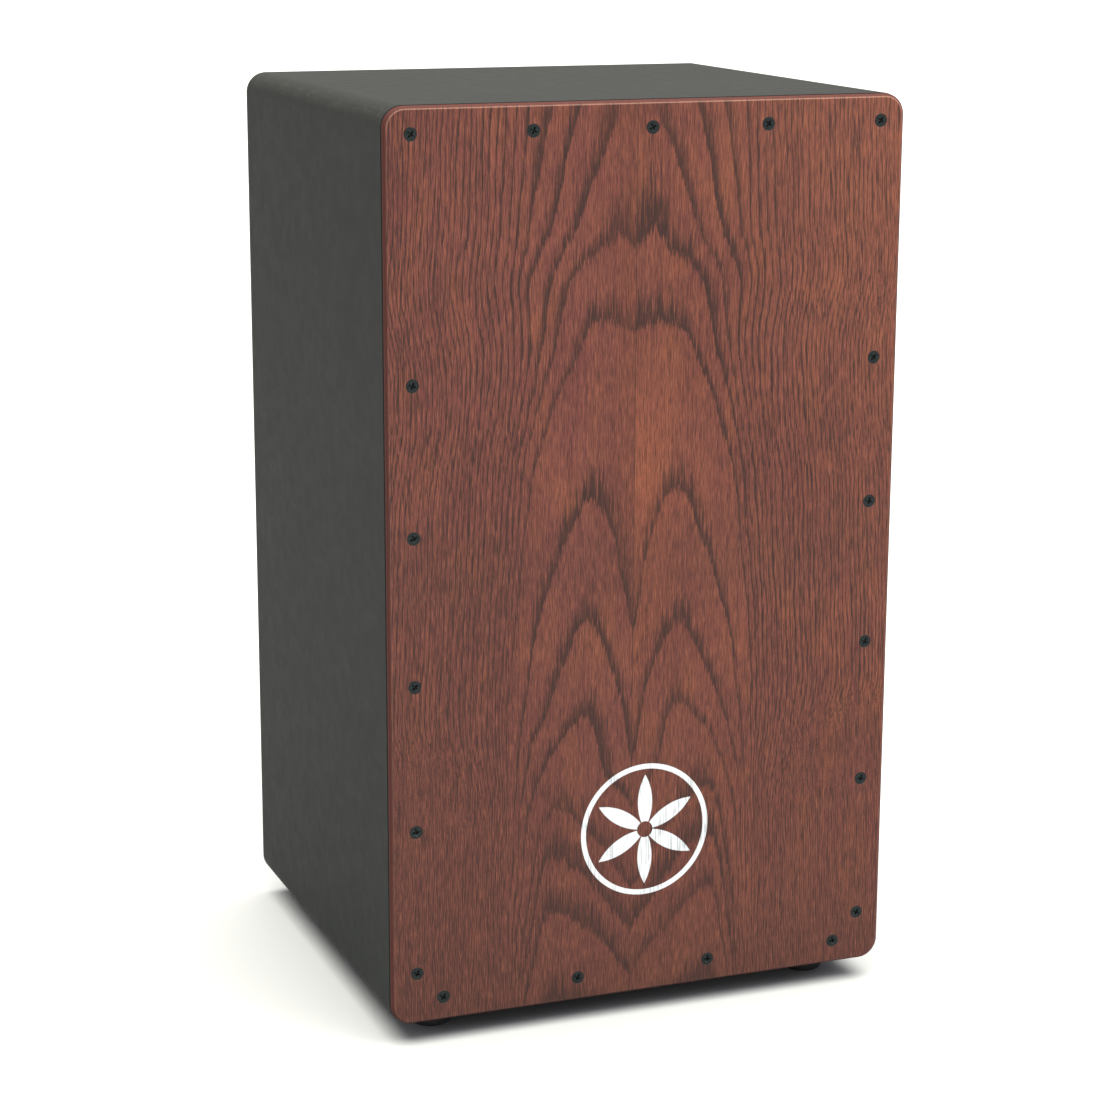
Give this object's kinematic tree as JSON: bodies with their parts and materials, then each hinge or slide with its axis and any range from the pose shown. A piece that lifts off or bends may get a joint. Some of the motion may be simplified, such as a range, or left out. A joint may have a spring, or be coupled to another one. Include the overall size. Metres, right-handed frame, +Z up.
{
  "type": "cajon",
  "caption": "Upright box drum with a screwed-on veneered playing plate, a round sound hole in the back, rubber feet and a tilting snare bar inside.",
  "frame": {"origin": "on the floor under the feet, at the middle of the box's width and depth", "axes": "+Z up, -Y out of the playing plate, +Y out of the sound hole, +X to the right as seen from the front"},
  "size_m": [0.28, 0.25, 0.482],
  "materials": {
    "lacquered_wood": "dark grey satin lacquer over plywood",
    "stained_veneer": "red-brown stained open-pored veneer, satin varnish",
    "plywood": "bare plywood",
    "pine": "planed softwood",
    "beech": "planed hardwood",
    "black_steel": "black oxide",
    "steel": "zinc plated",
    "nylon": "natural nylon",
    "rubber": "moulded matt rubber"
  },
  "bodies": {
    "case": {"top_panel": "lacquered_wood", "bottom_panel": "lacquered_wood", "left_panel": "lacquered_wood", "right_panel": "lacquered_wood", "back_panel": "lacquered_wood", "front_top_batten": "pine", "front_bottom_batten": "pine", "front_left_batten": "pine", "front_right_batten": "pine", "back_top_batten": "pine", "back_bottom_batten": "pine", "back_left_batten": "pine", "back_right_batten": "pine", "top_left_block": "pine", "top_right_block": "pine", "bottom_left_block": "pine", "bottom_right_block": "pine", "tapa_core": "plywood", "tapa_left_veneer": "stained_veneer", "tapa_right_veneer": "stained_veneer", "tapa_screws": "black_steel", "front_left_foot": "rubber", "front_right_foot": "rubber", "back_left_foot": "rubber", "back_right_foot": "rubber", "foot_washers": "steel", "foot_screws": "black_steel", "left_snare_bracket": "beech", "right_snare_bracket": "beech", "bracket_screws": "black_steel"},
    "snare": {"snare_bar": "beech", "left_pivot_pin": "steel", "right_pivot_pin": "steel", "pivot_washers": "nylon", "left_snare_plate": "steel", "right_snare_plate": "steel", "left_snare_wires": "steel", "right_snare_wires": "steel", "plate_screws": "black_steel", "snare_lever": "steel", "lever_screws": "black_steel"}
  },
  "joints": [
    {"name": "snare_tilt", "type": "hinge", "parent": "case", "child": "snare", "pos_m": [0, -0.0966, 0.312], "axis": [-1, 0, 0], "range_deg": [0, 35]}
  ]
}
